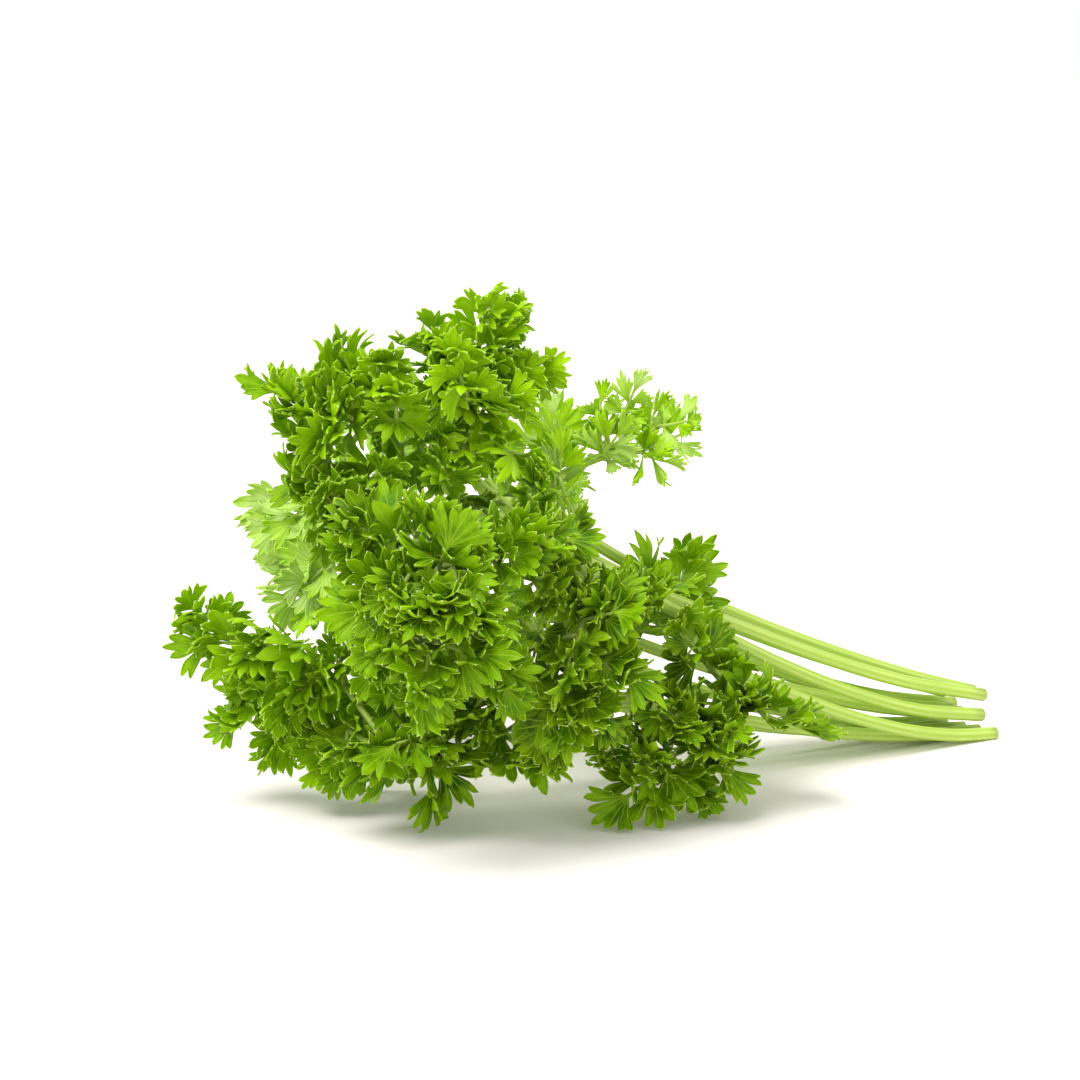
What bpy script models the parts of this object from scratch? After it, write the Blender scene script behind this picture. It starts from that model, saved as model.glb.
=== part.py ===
"""A bunch of curly parsley lying on a flat surface, in metres, +Z up.

Thirteen cut sprigs lie side by side. Each is a bare stalk with a leafy head, and the two are separate objects,
because they are different colours. A head is a rib that forks into stalklets, and each stalklet ends in
crisped leaflets: small fans with a toothed, waved rim.
The bunch is laid out as someone sees it who stands at its leafy end: across to the right, back away from them,
and up, in millimetres. The whole is then turned about the upright, so that the stalks run along +X.
"""

import math
import random

import bmesh
import bpy
import numpy as np
from mathutils import Matrix, Vector
from mathutils.bvhtree import BVHTree

MM = 0.001
SEED = 11
BUNCH_TURN = math.radians(-32.0)
# Moves the middle of the footprint to the origin, along X and Y after the turn.
BUNCH_SHIFT_MM = Vector((-31.5, -21.1, 0.0))
GAP_MM = 0.3
COLLAR_GAP_MM = 0.9

# The sheaf of stalks at the cut end.
CUT_END_MM = Vector((97.1, 73.4, 0.0))
CUT_STAGGER_MM = 3.0
STALK_RADIUS_MM = 1.55
COLLAR_RADIUS_MM = 1.2
SLOT_ROOM_MM = 0.9
SLOT_PITCH_MM = 2 * STALK_RADIUS_MM + SLOT_ROOM_MM
SLOT_RISE_MM = 4.0
FLAT_DEPTH_MM = 0.25
ROW_RISE = (0.0, 0.3, 0.6)
STALK_START_PULL = 0.4
STALK_END_PULL = 0.12
STALK_STEPS = 8
STALK_FINE = 5
RIB_STEPS = 4
STALK_APART_MM = 0.5

# The ribs and the leaflets of a head.
RIB_TIP_RADIUS_MM = 0.6
STALKLET_RADII_MM = (0.75, 0.5)
LEAF_THICKNESS_MM = 0.7
# Reach of the cuts from one side of a fan to the other: three lobes of two, three and two teeth.
CUTS = (0.52, 0.74, 0.42, 0.76, 0.76, 0.42, 0.74, 0.52)
TEETH = len(CUTS) - 1
FAN_SPAN = math.radians(54.0)
FAN_WAVES = 3.4
FAN_WAVE_SHARE = 0.24
FAN_CUP_SHARE = 0.22
NECK_REACH = 0.16
NECK_HALF_MM = 0.5
ROOT_SUNK_MM = 0.3
FLOOR_SOFT_MM = 2.0

# name, collar, tip, the way the upper face looks, length of the lower stalklets and of the fans,
# fans of each upper pair and on the middle of the rib, row and place in the sheaf
SPRIGS = (
    ("front", (-18, -29, 63), (-20, -40, 46), (-0.1, -1.0, 0.3), 7, 22, 2, 1, 2, -1.0),
    ("front_right", (9, -12, 50), (5, -22, 33), (0.3, -0.9, 0.2), 4, 19, 1, 1, 1, -1.5),
    ("crown", (-16, 6, 75), (-13, 3, 91), (-0.1, -0.9, 0.5), 6, 20, 2, 1, 2, 1.0),
    ("crown_left", (-30, 4, 76), (-42, -2, 84), (-0.3, -0.7, 0.6), 5, 19, 1, 1, 2, 2.0),
    ("branching", (3, 8, 68), (20, 4, 75), (-0.7, -0.5, 0.6), 5, 17, 1, 0, 2, 0.0),
    ("left_back", (-32, 42, 56), (-46, 48, 48), (-0.4, -0.6, 0.6), 6, 22, 1, 1, 1, 1.5),
    ("left_low", (-27, 12, 26), (-55, 10, 32), (-0.1, -0.6, -0.6), 7, 22, 2, 1, 0, 1.0),
    ("low_centre", (-10, 0, 26), (-28, -7, 14), (-0.2, -1.0, 0.1), 6, 22, 1, 1, 0, -1.0),
    ("right_low", (39, 14, 25), (27, 1, 13), (0.35, -0.8, 0.4), 6, 20, 2, 1, 0, -2.0),
    ("right_back", (31, 26, 32), (19, 18, 35), (0.3, -0.5, 0.8), 5, 19, 1, 0, 0, 0.0),
    ("rear_high", (-6, 36, 58), (-22, 43, 71), (-0.2, 0.7, 0.7), 6, 21, 1, 0, 1, 0.5),
    ("rear_low", (2, 46, 28), (-18, 58, 21), (-0.2, 0.6, 0.7), 6, 21, 1, 0, 0, 2.0),
    ("mid_left", (-24, 2, 58), (-36, -8, 68), (-0.3, -0.8, 0.5), 5, 19, 1, 0, 1, -0.5),
)
# Along the rib: share of its length, share of the lower stalklet's length, spread
LOWER_PAIR = (0.05, 1.0, 78.0)
UPPER_PAIR = (0.58, 0.0, 62.0)
END_FANS = 3
MIDDLE_SHARES = (0.35, 0.8)
# Ways to bend a fan clear, the least first: degrees of roll, degrees of lift, size
CLEAR_TRIES = [
    (roll, lift, size)
    for size in (1.0, 0.8)
    for lift in (0.0, 22.0, -22.0, 44.0)
    for roll in (0.0, 35.0, -35.0, 70.0, -70.0)
]
# For a fan on a stalklet: share of its length, the side it leaves to, its size, its lift to the upper face
FANS = {
    1: ((1.0, 0, 1.0, 0.35),),
    2: ((1.0, 0, 1.0, 0.1), (0.4, 1, 0.8, 0.8)),
    3: ((1.0, 0, 1.0, 0.15), (1.0, 1, 0.9, 0.4), (1.0, -1, 0.9, 0.4)),
}
FAN_SPREAD = math.radians(76.0)

LEAF_COLOUR = (0.16, 0.36, 0.012, 1.0)
STALK_COLOUR = (0.42, 0.62, 0.11, 1.0)


def clear_scene():
    for obj in list(bpy.data.objects):
        bpy.data.objects.remove(obj)


def new_collection(name):
    made = bpy.data.collections.new(name)
    bpy.context.scene.collection.children.link(made)
    return made


def matte(name, colour, roughness):
    made = bpy.data.materials.new(name)
    made.use_nodes = True
    shader = made.node_tree.nodes["Principled BSDF"]
    shader.inputs["Base Color"].default_value = colour
    shader.inputs["Roughness"].default_value = roughness
    shader.inputs["Metallic"].default_value = 0.0
    return made


def bezier(points, share):
    """The point at this share of a Bezier curve, by repeated halving towards the next control point."""
    while len(points) > 1:
        points = [a.lerp(b, share) for a, b in zip(points, points[1:])]
    return points[0]


def pressed(point):
    """A point that would sink into the surface is pressed towards it, and stays just clear."""
    if point.z >= FLOOR_SOFT_MM:
        return point
    low = LEAF_THICKNESS_MM / 2 - FLAT_DEPTH_MM
    room = FLOOR_SOFT_MM - low
    return Vector((point.x, point.y, low + room * math.exp((point.z - FLOOR_SOFT_MM) / room)))


class Sprig:
    """The lines of one sprig: its rib, and the frame of the leaf at any share of the rib."""

    def __init__(self, number, name, collar, tip, face, *rest):
        self.number = number
        self.name = name
        self.reach, self.fan_length, self.upper_fans, self.middle_fans, self.row, place = rest
        self.collar = Vector(collar)
        self.tip = Vector(tip)
        along = self.tip - self.collar
        face = Vector(face)
        self.face = (face - face.project(along)).normalized()
        middle = self.collar.lerp(self.tip, 0.5) + self.face * 0.25 * along.length
        self.rib = [self.collar, middle, self.tip]
        self.slot = self.slot_in_sheaf(place)

    def slot_in_sheaf(self, place):
        """The middle of the stalk at the cut end, in a sheaf that is three stalks deep."""
        sideways = Vector((math.sin(BUNCH_TURN), math.cos(BUNCH_TURN), 0.0))
        outward = Vector((math.cos(BUNCH_TURN), -math.sin(BUNCH_TURN), 0.0))
        stagger = random.Random(SEED + 100 + self.number).uniform(-CUT_STAGGER_MM, CUT_STAGGER_MM)
        rise = STALK_RADIUS_MM - FLAT_DEPTH_MM + self.row * SLOT_RISE_MM
        level = CUT_END_MM + sideways * place * SLOT_PITCH_MM + outward * stagger
        return level + Vector((0.0, 0.0, rise))

    def stalk_curve(self):
        """Four control points: from the cut end along the sheaf, then in one sweep to the collar."""
        level = Vector((-math.cos(BUNCH_TURN), math.sin(BUNCH_TURN), 0.0))
        direct = self.collar - self.slot
        start = level.lerp(direct.normalized(), ROW_RISE[self.row]).normalized()
        arrive = (self.rib[1] - self.rib[0]).normalized()
        return [
            self.slot,
            self.slot + start * direct.length * STALK_START_PULL,
            self.collar - arrive * direct.length * STALK_END_PULL,
            self.collar - arrive * COLLAR_GAP_MM,
        ]

    def frame_at(self, share):
        """The point on the rib, its direction, its side and the upper face there."""
        step = 0.02
        here = bezier(self.rib, share)
        ahead = (bezier(self.rib, share + step) - bezier(self.rib, share - step)).normalized()
        side = ahead.cross(self.face).normalized()
        return here, ahead, side, side.cross(ahead).normalized()


def stalk_routes(sprigs):
    """The middle line of every stalk, eased apart where two stalks, or a stalk and a rib, would touch.

    Each pair of points that is too close is pushed apart by half of what is missing, and the pushes are
    smoothed along the stalk. The ends and the ribs stay where they are.
    """
    fine = STALK_STEPS * STALK_FINE
    stalks = [[bezier(s.stalk_curve(), i / fine) for i in range(fine + 1)] for s in sprigs]
    ribs = [[bezier(s.rib, i / fine) for i in range(fine + 1)] for s in sprigs]
    start = np.array([a + b for a, b in zip(stalks, ribs)])
    radius = np.concatenate(
        [
            np.linspace(STALK_RADIUS_MM, COLLAR_RADIUS_MM, fine + 1),
            np.full(fine + 1, COLLAR_RADIUS_MM),
        ]
    )
    free = np.zeros(2 * fine + 2)
    free[1:fine] = np.minimum(1.0, np.minimum(np.arange(1, fine), fine - np.arange(1, fine)) / 6.0)
    need = radius[:, None] + radius[None, :] + STALK_APART_MM
    moved = np.zeros_like(start)
    for _ in range(120):
        at = start + moved
        for one in range(len(sprigs)):
            for other in range(len(sprigs)):
                if one == other:
                    continue
                away = at[one][:, None, :] - at[other][None, :, :]
                apart = np.linalg.norm(away, axis=2) + 1e-9
                near = apart.argmin(axis=1)
                rows = np.arange(len(near))
                short = np.maximum(need[rows, near] - apart[rows, near], 0.0)
                push = away[rows, near] / apart[rows, near][:, None] * short[:, None]
                moved[one] += 0.5 * push * free[:, None]
        moved[:, 1:fine] = 0.5 * moved[:, 1:fine] + 0.25 * (moved[:, : fine - 1] + moved[:, 2 : fine + 1])
        moved[:, fine:] = 0.0
        moved[:, 0] = 0.0
        lowest = radius - FLAT_DEPTH_MM
        moved[:, :, 2] = np.maximum(moved[:, :, 2], np.minimum(lowest - start[:, :, 2], 0.0))
        moved[:, : fine + 1, 2] = np.maximum(
            moved[:, : fine + 1, 2], (lowest - start[:, :, 2])[:, : fine + 1]
        )
    at = start + moved
    return [[Vector(p) for p in line[: fine + 1 : STALK_FINE]] for line in at]


def tube(name, points, radii, sides, collection):
    """A round stalk through the points, as a curve with a bevel, made a closed mesh."""
    curve = bpy.data.curves.new(name, "CURVE")
    curve.dimensions = "3D"
    curve.bevel_depth = MM
    curve.bevel_resolution = sides // 2 - 2
    curve.use_fill_caps = True
    spline = curve.splines.new("POLY")
    spline.points.add(len(points) - 1)
    for knot, point, radius in zip(spline.points, points, radii):
        knot.co = (*(point * MM), 1.0)
        knot.radius = radius
    guide = bpy.data.objects.new(name, curve)
    collection.objects.link(guide)
    graph = bpy.context.evaluated_depsgraph_get()
    mesh = bpy.data.meshes.new_from_object(guide.evaluated_get(graph))
    bpy.data.objects.remove(guide)
    shape = bmesh.new()
    shape.from_mesh(mesh)
    bmesh.ops.remove_doubles(shape, verts=shape.verts, dist=1e-6)
    bmesh.ops.triangulate(shape, faces=shape.faces)
    bmesh.ops.recalc_face_normals(shape, faces=shape.faces)
    shape.to_mesh(mesh)
    shape.free()
    made = bpy.data.objects.new(name, mesh)
    collection.objects.link(made)
    return made


def stalklets(sprig, draw):
    """For each stalklet: its points, its end direction, its side, the upper face, and how many fans it has.

    Only the lower pair has a length. The other fans sit straight on the rib.
    """
    found = []
    for pair, fans in ((LOWER_PAIR, 2), (UPPER_PAIR, sprig.upper_fans)):
        share, length, spread = pair
        here, ahead, side, up = sprig.frame_at(share)
        for hand in (1, -1):
            turn = math.radians(spread + draw.uniform(-8.0, 8.0))
            reach = sprig.reach * length * draw.uniform(0.88, 1.08)
            out = (ahead * math.cos(turn) + side * hand * math.sin(turn) + up * 0.18).normalized()
            across = out.cross(up).normalized() * -hand
            found.append(([here, here + out * reach], out, across, up, fans))
    here, ahead, side, up = sprig.frame_at(1.0)
    found.append(([here, here], ahead, side, up, END_FANS))
    for i, share in enumerate(MIDDLE_SHARES[: sprig.middle_fans]):
        here, ahead, side, up = sprig.frame_at(share)
        out = (up + ahead * 0.35 + side * (0.4 if i else -0.4)).normalized()
        found.append(([here, here], out, side, -ahead, 1))
    return found


def fan_frames(stalklet, fan_length, draw):
    """Where each fan of a stalklet grows: its root, its direction, the upper face, its length and its wave."""
    points, ahead, side, up, fans = stalklet
    frames = []
    for share, hand, size, lift in FANS[fans]:
        turn = FAN_SPREAD * hand + math.radians(draw.uniform(-14.0, 14.0))
        lift = lift + draw.uniform(-0.2, 0.2)
        out = (ahead * math.cos(turn) + side * math.sin(turn) + up * lift).normalized()
        roll = Matrix.Rotation(math.radians(draw.uniform(-40.0, 40.0)), 3, out)
        face = (roll @ (up - up.project(out))).normalized()
        length = fan_length * size * draw.uniform(0.9, 1.1)
        root = points[0].lerp(points[1], share) - out * ROOT_SUNK_MM
        frames.append((root, out, face, length, draw.uniform(0.0, 2 * math.pi)))
    return frames


def fan_point(frame, reach, angle):
    """A point of the waved fan: reach is its share of the length, angle its bearing from the fan's own axis.

    The rim waves up and down, more the further out it is, and the whole fan is cupped.
    """
    root, out, face, length, wave = frame
    side = out.cross(face)
    rise = FAN_WAVE_SHARE * length * reach**1.5 * math.cos(FAN_WAVES * angle + wave)
    cup = FAN_CUP_SHARE * length * reach * reach
    flat = out * math.cos(angle) + side * math.sin(angle)
    return root + flat * length * reach + face * (rise + cup)


def fan_sheet(frame):
    """The middle surface of a fan as triangles: a narrow neck, a web, and a row of pointed teeth."""
    root, out, face, length, _wave = frame
    neck = root + out * NECK_REACH * length
    wide = out.cross(face) * NECK_HALF_MM
    step = 2 * FAN_SPAN / TEETH
    notches = [fan_point(frame, cut, -FAN_SPAN + i * step) for i, cut in enumerate(CUTS)]
    points = [root, neck - wide, neck + wide, *notches]
    faces = [(0, 2, 1), (1, 2, 3 + TEETH // 2)]
    for i in range(TEETH):
        angle = -FAN_SPAN + (i + 0.5) * step
        reach = 1.0 - 0.22 * (angle / FAN_SPAN) ** 2
        points.append(fan_point(frame, reach, angle))
        corner = 1 if i < TEETH // 2 else 2
        faces.append((corner, i + 4, i + 3))
        faces.append((i + 3, i + 4, TEETH + 4 + i))
    return [pressed(p) for p in points], faces


def sheet_mesh(points, faces, thickness):
    """The sheet given its thickness, half to each side, with triangles alike on both faces."""
    mesh = bpy.data.meshes.new("sheet")
    mesh.from_pydata([p * MM for p in points], [], faces)
    holder = bpy.data.objects.new("sheet", mesh)
    bpy.context.scene.collection.objects.link(holder)
    shell = holder.modifiers.new("thickness", "SOLIDIFY")
    shell.thickness = thickness * MM
    shell.offset = 0.0
    graph = bpy.context.evaluated_depsgraph_get()
    solid = bpy.data.meshes.new_from_object(holder.evaluated_get(graph))
    bpy.data.objects.remove(holder)
    bpy.data.meshes.remove(mesh)
    shape = bmesh.new()
    shape.from_mesh(solid)
    bmesh.ops.triangulate(shape, faces=shape.faces)
    bmesh.ops.recalc_face_normals(shape, faces=shape.faces)
    shape.to_mesh(solid)
    shape.free()
    return solid


def tree_of(mesh):
    shape = bmesh.new()
    shape.from_mesh(mesh)
    made = BVHTree.FromBMesh(shape)
    shape.free()
    return made


def turned(frame, degrees, size):
    """The fan rolled about its own axis, and made smaller."""
    root, out, face, length, wave = frame
    rolled = Matrix.Rotation(math.radians(degrees), 3, out) @ face
    return root, out, rolled, length * size, wave


def bent(frame, degrees):
    """The fan bent up from its root, towards the upper face."""
    root, out, face, length, wave = frame
    turn = Matrix.Rotation(math.radians(degrees), 3, out.cross(face))
    return root, turn @ out, turn @ face, length, wave


def clear_fan(frame, others, neighbours):
    """The fan's solid, bent or turned until it is clear of the other sprigs, or None where it can't be.

    Of the ways that are clear, the one that cuts through the fewest fans of its own head is taken.
    """
    best = None
    for roll, lift, size in CLEAR_TRIES:
        one = bent(turned(frame, roll, size), lift)
        points, faces = fan_sheet(one)
        fat = sheet_mesh(points, faces, LEAF_THICKNESS_MM + 2 * GAP_MM)
        hit = tree_of(fat)
        bpy.data.meshes.remove(fat)
        if any(hit.overlap(other) for other in others):
            continue
        crossed = sum(1 for other in neighbours if hit.overlap(other))
        if best is None or crossed < best[0]:
            best = (crossed, points, faces)
        if crossed == 0:
            break
    return best and sheet_mesh(best[1], best[2], LEAF_THICKNESS_MM)


def is_clear(points, radii, others, helpers):
    """True where a stalklet with room round it touches no other sprig."""
    fat = tube("room", points, [r + GAP_MM for r in radii], 4, helpers)
    hit = tree_of(fat.data)
    bpy.data.objects.remove(fat)
    return not any(hit.overlap(other) for other in others)


def grow_head(sprig, repeats, solids, helpers):
    """Adds the stalklets and the fans of one head, each clear of every other sprig; returns how many don't fit."""
    draw = random.Random(SEED + sprig.number)
    others = [t for name, trees in solids.items() if name != sprig.name for t in trees]
    own_stalk = solids[sprig.name][0]
    missing = 0
    fans = []
    for stalklet in stalklets(sprig, draw):
        points = stalklet[0]
        frames = fan_frames(stalklet, sprig.fan_length, draw)
        bare = points[0] != points[1]
        if bare and not is_clear(points, STALKLET_RADII_MM, [*others, own_stalk], helpers):
            missing += len(frames)
            continue
        if bare:
            twig = tube("stalklet", points, STALKLET_RADII_MM, 4, repeats)
            solids[sprig.name].append(tree_of(twig.data))
        for frame in frames:
            mesh = clear_fan(frame, [*others, own_stalk], fans)
            if mesh is None:
                missing += 1
                continue
            repeats.objects.link(bpy.data.objects.new("fan", mesh))
            fans.append(tree_of(mesh))
            solids[sprig.name].append(fans[-1])
    return missing


def apply_modifiers(obj):
    graph = bpy.context.evaluated_depsgraph_get()
    made = bpy.data.meshes.new_from_object(obj.evaluated_get(graph))
    obj.modifiers.clear()
    obj.data = made


def join(base, repeats):
    """One Boolean union of everything in the collection with the base."""
    union = base.modifiers.new("union", "BOOLEAN")
    union.operation = "UNION"
    union.operand_type = "COLLECTION"
    union.collection = repeats
    union.solver = "MANIFOLD"
    apply_modifiers(base)
    for obj in list(repeats.objects):
        bpy.data.objects.remove(obj)
    bpy.data.collections.remove(repeats)


def level_off(obj, floor):
    """Trims what would be below the surface, which leaves the piece small flat spots to rest on."""
    cut = obj.modifiers.new("level", "BOOLEAN")
    cut.operation = "DIFFERENCE"
    cut.object = floor
    cut.solver = "MANIFOLD"
    apply_modifiers(obj)


def islands(shape):
    """The connected bodies of a mesh, each as its faces."""
    left = set(shape.faces)
    found = []
    while left:
        todo = [left.pop()]
        body = list(todo)
        while todo:
            for edge in todo.pop().edges:
                for face in edge.link_faces:
                    if face in left:
                        left.remove(face)
                        todo.append(face)
                        body.append(face)
        found.append(body)
    return found


def keep_main_body(obj):
    """Fills sealed hollows and drops loose scraps: only the outer skin of the largest body stays.

    Facets that lie in one plane are merged, unless that would open a seam.
    """
    shape = bmesh.new()
    shape.from_mesh(obj.data)
    bodies = sorted(islands(shape), key=len)
    for body in bodies[:-1]:
        bmesh.ops.delete(shape, geom=body, context="FACES")
    whole = shape.copy()
    bmesh.ops.dissolve_limit(
        whole, angle_limit=math.radians(0.5), verts=whole.verts, edges=whole.edges
    )
    bmesh.ops.triangulate(whole, faces=whole.faces)
    bmesh.ops.triangulate(shape, faces=shape.faces)
    tight = all(len(edge.link_faces) == 2 for edge in whole.edges)
    (whole if tight else shape).to_mesh(obj.data)
    whole.free()
    shape.free()
    return len(bodies)


def place(obj):
    """From the layout to the finished place: turned about the upright, then moved over the origin."""
    turn = Matrix.Rotation(BUNCH_TURN, 4, "Z")
    obj.data.transform(Matrix.Translation(BUNCH_SHIFT_MM * MM) @ turn)


def floor_cutter(helpers):
    bpy.ops.mesh.primitive_cube_add(size=1.0, location=(0.0, 0.0, 0.0))
    floor = bpy.context.object
    floor.name = "floor_cutter"
    floor.data.transform(Matrix.Translation((0.0, 0.0, -0.5)))
    for owner in list(floor.users_collection):
        owner.objects.unlink(floor)
    helpers.objects.link(floor)
    floor.hide_render = True
    floor.display_type = "WIRE"
    return floor


def main():
    clear_scene()
    bunch = new_collection("parsley_bunch")
    helpers = new_collection("helpers")
    leaf = matte("parsley_leaf", LEAF_COLOUR, 0.5)
    stalk = matte("parsley_stalk", STALK_COLOUR, 0.4)
    floor = floor_cutter(helpers)

    sprigs = [Sprig(number, *row) for number, row in enumerate(SPRIGS)]
    solids = {}
    bases = {}
    for sprig, route in zip(sprigs, stalk_routes(sprigs)):
        radii = np.linspace(STALK_RADIUS_MM, COLLAR_RADIUS_MM, STALK_STEPS + 1)
        piece = tube("stalk_" + sprig.name, route, radii, 8, bunch)
        level_off(piece, floor)
        piece.data.materials.clear()
        piece.data.materials.append(stalk)
        rib = [bezier(sprig.rib, i / RIB_STEPS) for i in range(RIB_STEPS + 1)]
        radii = np.linspace(COLLAR_RADIUS_MM, RIB_TIP_RADIUS_MM, RIB_STEPS + 1)
        base = tube("leaf_" + sprig.name, rib, radii, 6, bunch)
        solids[sprig.name] = [tree_of(piece.data), tree_of(base.data)]
        bases[sprig.name] = base
    repeats = {s.name: new_collection("repeats_" + s.name) for s in sprigs}
    missing = {}
    for sprig in sprigs:
        missing[sprig.name] = grow_head(sprig, repeats[sprig.name], solids, helpers)
    print("fans without room:", missing)
    for sprig in sprigs:
        base = bases[sprig.name]
        join(base, repeats[sprig.name])
        level_off(base, floor)
        bodies = keep_main_body(base)
        base.data.materials.clear()
        base.data.materials.append(leaf)
        print(base.name, "triangles", len(base.data.polygons), "bodies", bodies)
    for obj in bunch.objects:
        place(obj)


if __name__ == "__main__":
    main()
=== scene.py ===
# %% [markdown]
# # A bunch of curly parsley
# The frame holds thirteen plain sprigs, each a bare stalk and a head of coarse leaflets. This script keeps
# their form and gives each one the surface of the real plant: leaflets cut into small pointed teeth,
# crisped rims, veins, pale undersides, and stalks with fine ribs.

# %% Load the frame
import math
import random

import bmesh
import bpy
import numpy as np
from mathutils import Matrix, Vector


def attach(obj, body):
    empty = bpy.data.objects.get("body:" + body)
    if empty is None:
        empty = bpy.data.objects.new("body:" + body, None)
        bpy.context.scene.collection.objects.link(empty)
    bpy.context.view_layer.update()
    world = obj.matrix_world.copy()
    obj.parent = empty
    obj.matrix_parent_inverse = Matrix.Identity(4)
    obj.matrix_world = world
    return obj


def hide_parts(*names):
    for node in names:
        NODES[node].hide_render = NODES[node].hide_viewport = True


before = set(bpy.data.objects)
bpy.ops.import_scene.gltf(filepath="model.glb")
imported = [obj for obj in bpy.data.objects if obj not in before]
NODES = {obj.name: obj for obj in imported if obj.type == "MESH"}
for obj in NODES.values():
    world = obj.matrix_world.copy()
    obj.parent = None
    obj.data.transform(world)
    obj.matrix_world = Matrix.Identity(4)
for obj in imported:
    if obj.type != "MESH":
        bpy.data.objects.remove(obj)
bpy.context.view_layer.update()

# %% [markdown]
# The bunch is laid out as someone sees it who stands at its leafy end: across to the right, back away from
# them, and up, in millimetres. The whole is then turned about the upright and moved over the origin. The
# camera stands at that same leafy end, so it goes through the same turn.

# %% From the layout to the finished place
MM = 0.001
BUNCH_TURN = math.radians(-32.0)
BUNCH_SHIFT_MM = Vector((-31.5, -21.1, 0.0))
TURN = np.array(Matrix.Rotation(BUNCH_TURN, 3, "Z"))


def placed(points):
    """Layout millimetres to finished metres: turned about the upright, then shifted."""
    return (points @ TURN.T + np.array(BUNCH_SHIFT_MM)) * MM


print("the bunch is turned by", round(math.degrees(BUNCH_TURN)), "degrees")

# %% [markdown]
# The camera looks slightly down on the bunch, from the front. Its lens is worked out from the real width
# that fits in the picture at the distance of the bunch: 216 mm at 560 mm.

# %% Camera
VIEW_DISTANCE_MM = 560.0
VIEW_WIDTH_MM = 216.0
VIEW_RISE = math.radians(10.0)
VIEW_CENTRE_MM = 57.7


def add_camera():
    """A camera that looks along the layout's depth axis, lowered by its rise."""
    camera = bpy.data.cameras.new("view")
    camera.lens = camera.sensor_width * VIEW_DISTANCE_MM / VIEW_WIDTH_MM
    camera.clip_start = 0.01
    eye = Vector(
        (
            0.0,
            -VIEW_DISTANCE_MM * math.cos(VIEW_RISE),
            VIEW_CENTRE_MM + VIEW_DISTANCE_MM * math.sin(VIEW_RISE),
        )
    )
    place = Matrix.Translation(eye) @ Matrix.Rotation(math.radians(90.0) - VIEW_RISE, 4, "X")
    place = Matrix.Translation(BUNCH_SHIFT_MM) @ Matrix.Rotation(BUNCH_TURN, 4, "Z") @ place
    place.translation *= MM
    made = bpy.data.objects.new("view", camera)
    made.matrix_world = place
    bpy.context.scene.collection.objects.link(made)
    bpy.context.scene.camera = made
    return made


view = add_camera()
print("lens", round(view.data.lens, 1), "mm")

# %% [markdown]
# ## How a sprig grows
# A leaf of parsley forks twice: the rib carries stalklets in pairs, and each carries leaflets. The values
# below are those of the frame, so the fine leaflets start exactly where the coarse ones do.

# %% The sprigs
SEED = 11
# The middle of the sheaf at its cut end, and how the stalks lie in it
CUT_END_MM = Vector((97.1, 73.4, 0.0))
CUT_STAGGER_MM = 3.0
STALK_RADIUS_MM = 1.55
COLLAR_RADIUS_MM = 1.2
RIB_TIP_RADIUS_MM = 0.6
SLOT_ROOM_MM = 0.9
SLOT_PITCH_MM = 2 * STALK_RADIUS_MM + SLOT_ROOM_MM
SLOT_RISE_MM = 4.0
FLAT_DEPTH_MM = 0.25
# How steeply each row of the sheaf starts to rise, and how far out the inner control points of a stalk are
ROW_RISE = (0.0, 0.3, 0.6)
STALK_START_PULL = 0.4
STALK_END_PULL = 0.12
COLLAR_GAP_MM = 0.9
# name, collar, tip, the way the upper face looks, length of the lower stalklets and of the fans,
# fans of each upper pair and on the middle of the rib, row and place in the sheaf
SPRIGS = (
    ("front", (-18, -29, 63), (-20, -40, 46), (-0.1, -1.0, 0.3), 7, 22, 2, 1, 2, -1.0),
    ("front_right", (9, -12, 50), (5, -22, 33), (0.3, -0.9, 0.2), 4, 19, 1, 1, 1, -1.5),
    ("crown", (-16, 6, 75), (-13, 3, 91), (-0.1, -0.9, 0.5), 6, 20, 2, 1, 2, 1.0),
    ("crown_left", (-30, 4, 76), (-42, -2, 84), (-0.3, -0.7, 0.6), 5, 19, 1, 1, 2, 2.0),
    ("branching", (3, 8, 68), (20, 4, 75), (-0.7, -0.5, 0.6), 5, 17, 1, 0, 2, 0.0),
    ("left_back", (-32, 42, 56), (-46, 48, 48), (-0.4, -0.6, 0.6), 6, 22, 1, 1, 1, 1.5),
    ("left_low", (-27, 12, 26), (-55, 10, 32), (-0.1, -0.6, -0.6), 7, 22, 2, 1, 0, 1.0),
    ("low_centre", (-10, 0, 26), (-28, -7, 14), (-0.2, -1.0, 0.1), 6, 22, 1, 1, 0, -1.0),
    ("right_low", (39, 14, 25), (27, 1, 13), (0.35, -0.8, 0.4), 6, 20, 2, 1, 0, -2.0),
    ("right_back", (31, 26, 32), (19, 18, 35), (0.3, -0.5, 0.8), 5, 19, 1, 0, 0, 0.0),
    ("rear_high", (-6, 36, 58), (-22, 43, 71), (-0.2, 0.7, 0.7), 6, 21, 1, 0, 1, 0.5),
    ("rear_low", (2, 46, 28), (-18, 58, 21), (-0.2, 0.6, 0.7), 6, 21, 1, 0, 0, 2.0),
    ("mid_left", (-24, 2, 58), (-36, -8, 68), (-0.3, -0.8, 0.5), 5, 19, 1, 0, 1, -0.5),
)
# Along the rib: share of its length, share of the lower stalklet's length, spread
LOWER_PAIR = (0.05, 1.0, 78.0)
UPPER_PAIR = (0.58, 0.0, 62.0)
END_FANS = 3
MIDDLE_SHARES = (0.35, 0.8)
print(len(SPRIGS), "sprigs")

# %% [markdown]
# The rib of a leaf bows towards its upper face. A stalk leaves the sheaf nearly level, then sweeps up to
# its collar. Both are Bezier curves, whose few control points say where a line starts, which way, and where
# it ends.

# %% The lines of one sprig
RIB_BOW = 0.25
RIB_STEP = 0.02


def bezier(points, share):
    """The point at this share of a Bezier curve, by repeated halving towards the next control point."""
    while len(points) > 1:
        points = [a.lerp(b, share) for a, b in zip(points, points[1:])]
    return points[0]


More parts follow.
